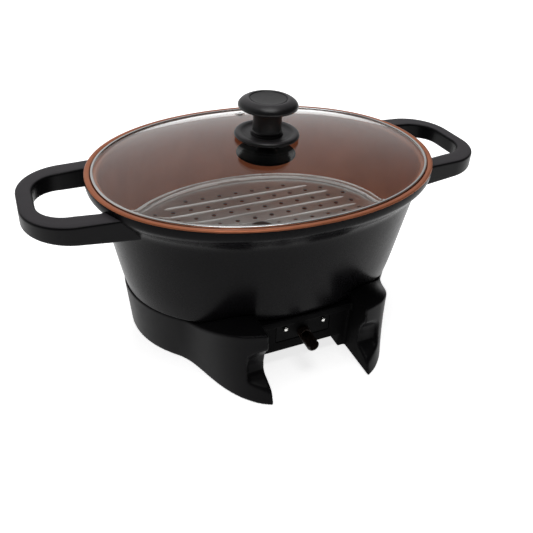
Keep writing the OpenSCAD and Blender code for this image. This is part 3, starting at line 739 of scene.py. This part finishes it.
def base_mesh(h=1.2):
    ax = [np.arange(lo, hi + h, h) for lo, hi in ((-156.6, 156.6), (-165.6, 165.6), (-1.5, 74.1))]
    X, Y, Z = np.meshgrid(*ax, indexing="ij")
    X, Y, Z = X.astype(np.float32), Y.astype(np.float32), Z.astype(np.float32)
    R = np.hypot(X, Y)
    T = np.arctan2(Y, X)
    e = np.degrees(np.abs(T))
    e = np.where(e > 90, 180 - e, e)
    top, low = 34.5 * ease((e - 32) / 30), 60 * ease((e - 28) / 47)
    # the top edge is level at the ends and rises to flat shelves over the legs, a little sooner at the pot
    outer, inner = BASE_H + 15 * ease((e - 38) / 22), BASE_H + 15 * ease((e - 32) / 28)
    r_out, r_in = plan(T, 153.6, 112.6) + top - 1.2, plan(T, 152.0, 112.0)
    shelf = outer + (inner - outer) * np.clip((r_out - R) / np.maximum(r_out - r_in, 0.5), 0, 1)
    u = np.clip(1 - Z / outer, 0, None)
    g = u ** 1.25
    side = R - (plan(T, 153.6 - 5.6 * u, 112.6 - 4.6 * u) + top * (1 - g) + low * g)
    gx, gy, gz = np.gradient(side, h)
    side = side / np.clip(np.sqrt(gx * gx + gy * gy + gz * gz), 0.6, 3)
    f = smax(side, (Z - shelf) * 0.95, 2.0)
    f = smax(f, 0.6 - Z, 0.9)
    # bays between the legs, under, in front of and over the apron
    half = 52.3
    bay = np.maximum(smax(np.abs(X) - half, 111.8 - np.abs(Y), 2.0), Z - 52)
    bay = np.minimum(bay, smax(np.abs(X) - half, 116.0 - np.abs(Y), 2.0))
    bay = np.minimum(bay, np.maximum(np.maximum(np.abs(X) - half, 100 - np.abs(Y)), 59.8 - Z))
    f = smax(f, -bay, 0.9)
    # scooped fronts of the legs
    poly = [(-190, 74), (-146, 58), (-140, 51.5), (-136, 44), (-134.4, 34), (-135, 24.5), (-138, 21), (-144, 19.2),
            (-151, 16.6), (-158, 12), (-190, -10)]
    scoop = smax(polygon_distance(-np.abs(Y), Z, poly), np.abs(X) - 72.0, 4.0)
    f = smax(f, -scoop, 2.2)
    # room for the pot's foot
    zs = [50.7, 51.3, 52.7, 55.0, 55.2, 55.9, 62, 75, 100]
    ds = [39.5, 37.1, 36.1, 35.9, 32.2, 31.2, 29.9, 26.9, 22.1]
    d = np.interp(Z, zs, ds)
    a, b = RIM_A - d, RIM_B - np.where(d <= 12, d, 12 + 0.65 * (d - 12))
    q = (np.abs(X / a) ** OVAL + np.abs(Y / b) ** OVAL) ** (1 / OVAL)
    f = smax(f, -np.maximum((1 - 1 / np.maximum(q, 1e-3)) * R, 50.7 - Z), 0.6)
    # well that holds the heating parts
    q = (np.abs(X / 150.2) ** OVAL + np.abs(Y / 108.2) ** OVAL) ** (1 / OVAL)
    f = np.maximum(f, -np.maximum(np.maximum((1 - 1 / np.maximum(q, 1e-3)) * R, side + 2.6), Z - 50.2))
    q = (np.abs(X / 145.4) ** OVAL + np.abs(Y / 107.8) ** OVAL) ** (1 / OVAL)
    f = np.maximum(f, -np.maximum((1 - 1 / np.maximum(q, 1e-3)) * R, np.abs(Z - 48.0) - 4.2))
    # recess under the inlet, with its own walls
    ub = np.maximum(np.maximum(np.abs(X) - 44, Z - 16.5), np.maximum(Y + 85.8, -112.8 - Y))
    walls = np.maximum(np.maximum(np.abs(X) - 46.6, Z - 19.1), np.maximum(Y + 83.2, -111.6 - Y))
    f = np.minimum(f, np.maximum(walls, 0.6 - Z))
    f = smax(f, -ub, 1.5)
    # window of the inlet
    win = np.maximum(np.maximum(np.abs(X) - 30, np.abs(Z - 39.9) - 10.7), np.abs(Y + 110.4) - 3.4)
    f = np.maximum(f, -win)
    # shallow recess for the bottom cover
    rec = np.maximum(np.maximum(Z - 5.0, side + 2.6), np.maximum(2.6 - bay, 2.6 - ub))
    f = np.maximum(f, -rec)
    return surface(f, [a0[0] for a0 in ax], h)


sv, sf = base_mesh()
base = make("base_shell", sv, sf, ["housing"], "base", ["base_housing"], sharp=60)
dec = base.modifiers.new("thin", "DECIMATE")
dec.ratio = 0.5
bpy.context.view_layer.update()
apply_modifiers(base)
smooth(base, 55)
# inside of the bays: rougher and less glossy, with painted shade: a darker copy of the housing colour
base.data.materials.append(MAT["bay"])
for poly in base.data.polygons:
    x, y, z = poly.center / MM
    if abs(x) < 53.6 and 80 < abs(y) < 117.5 and z < 59 or abs(abs(x) - 52.3) < 0.4 and abs(poly.normal.x) > 0.9:
        poly.material_index = 1

# ---------------------------------------------------------------------------
# materials of the construction nodes that stay in view
# ---------------------------------------------------------------------------

KEEP = {
    "bottom_cover": "cover", "cover_screws": "zinc", "rubber_feet": "rubber", "support_posts": "zinc",
    "heat_shield": "shield", "heating_plate": "alloy", "heating_element": "sheath", "plate_screws": "zinc",
    "socket_block": "socket", "socket_screws": "zinc", "terminal_pins": "pin", "probe_guide": "guide",
    "probe_tube": "alloy", "thermal_fuse": "ceramic", "sensor_guide": "socket", "sensor_cap": "alloy",
    "sensor_clip": "zinc", "sensor_spring": "spring", "handle_screws": "zinc", "vent_eyelet": "band",
    "knob_gasket": "rubber", "knob_washer": "zinc", "knob_screw": "zinc", "steam_baffle": "socket",
}
for name, mat in KEEP.items():
    o = nodes[name]
    o.data.materials.clear()
    o.data.materials.append(MAT[mat])

# ---------------------------------------------------------------------------
# stage, light, camera
# ---------------------------------------------------------------------------


def floor():
    n = 40
    s = 6.0
    xs = np.linspace(-s, s, n + 1)
    verts = [(x, y, -0.0002) for y in xs for x in xs]
    faces = [(r * (n + 1) + c, r * (n + 1) + c + 1, (r + 1) * (n + 1) + c + 1, (r + 1) * (n + 1) + c)
             for r in range(n) for c in range(n)]
    me = bpy.data.meshes.new("floor")
    me.from_pydata(verts, [], faces)
    m, nt, p = new_material("floor_paper")
    v = coords(nt)
    nt.links.new(ramp(nt, noise(nt, v, 8, 3.0), [(0.3, (0.90, 0.90, 0.90)), (0.7, (0.93, 0.93, 0.93))]), p.inputs["Base Color"])
    p.inputs["Roughness"].default_value = 0.7
    p.inputs["Specular IOR Level"].default_value = 0.2
    p.inputs["Emission Color"].default_value = (1, 1, 1, 1)
    p.inputs["Emission Strength"].default_value = 0.78
    me.materials.append(m)
    ob = bpy.data.objects.new("floor", me)
    scene.collection.objects.link(ob)


floor()

world = bpy.data.worlds.new("studio")
scene.world = world
world.use_nodes = True
wt = world.node_tree
wt.nodes.clear()
wo = wt.nodes.new("ShaderNodeOutputWorld")
bg = wt.nodes.new("ShaderNodeBackground")
tc = wt.nodes.new("ShaderNodeTexCoord")
dot = wt.nodes.new("ShaderNodeVectorMath")
dot.operation = "DOT_PRODUCT"
dot.inputs[1].default_value = (-0.22, 0.75, 0.10)
wt.links.new(tc.outputs["Generated"], dot.inputs[0])
mr = wt.nodes.new("ShaderNodeMapRange")
mr.interpolation_type = "SMOOTHSTEP"
mr.inputs["From Min"].default_value = -0.10
mr.inputs["From Max"].default_value = 0.72
mr.inputs["To Min"].default_value = 0.08
mr.inputs["To Max"].default_value = 0.70
wt.links.new(dot.outputs["Value"], mr.inputs["Value"])
wt.links.new(mr.outputs["Result"], bg.inputs["Strength"])
wt.links.new(bg.outputs[0], wo.inputs[0])


def lamp(name, at, aim, size, watts, colour=(1, 1, 1), glossy=True):
    li = bpy.data.lights.new(name, "AREA")
    li.shape = "RECTANGLE"
    li.size, li.size_y = size
    li.energy = watts
    li.color = colour
    ob = bpy.data.objects.new(name, li)
    ob.location = at
    ob.rotation_mode = "QUATERNION"
    ob.rotation_quaternion = (Vector(aim) - Vector(at)).to_track_quat("-Z", "Y")
    ob.visible_glossy = glossy
    ob.visible_transmission = False
    scene.collection.objects.link(ob)
    return ob


lamp("key", (0.35, 0.9, 1.7), (0, 0, 0.12), (1.4, 1.0), 12, glossy=False)
lamp("side", (-1.6, 0.2, 1.0), (0, 0, 0.1), (0.9, 1.2), 4, glossy=False)
lamp("over", (0.0, -0.25, 1.75), (0, -0.02, 0.2), (0.8, 0.8), 8.5)

cam = bpy.data.cameras.new("camera")
cam.sensor_fit = "HORIZONTAL"
cam.sensor_width = 36.0
cam.lens = 36.0 * 623.28 / 533
cam.shift_x = (266.5 - 263.24) / 533
cam.shift_y = (198.59 - 266.5) / 533
cam.clip_start, cam.clip_end = 0.02, 60
cam_ob = bpy.data.objects.new("camera", cam)
scene.collection.objects.link(cam_ob)
az, el, roll = math.radians(-25.04), math.radians(29.89), math.radians(3.06)
back = Vector((math.sin(az) * math.cos(el), -math.cos(az) * math.cos(el), math.sin(el)))
right = (-back).cross(Vector((0, 0, 1))).normalized()
up = right.cross(-back)
r2 = math.cos(roll) * right + math.sin(roll) * up
u2 = -math.sin(roll) * right + math.cos(roll) * up
place = Vector((0, 0, 0.12988)) + back * 0.6743
cam_ob.matrix_world = Matrix(((r2.x, u2.x, back.x, place.x), (r2.y, u2.y, back.y, place.y),
                              (r2.z, u2.z, back.z, place.z), (0, 0, 0, 1)))
scene.camera = cam_ob
scene.view_settings.view_transform = "Standard"

bpy.context.view_layer.update()
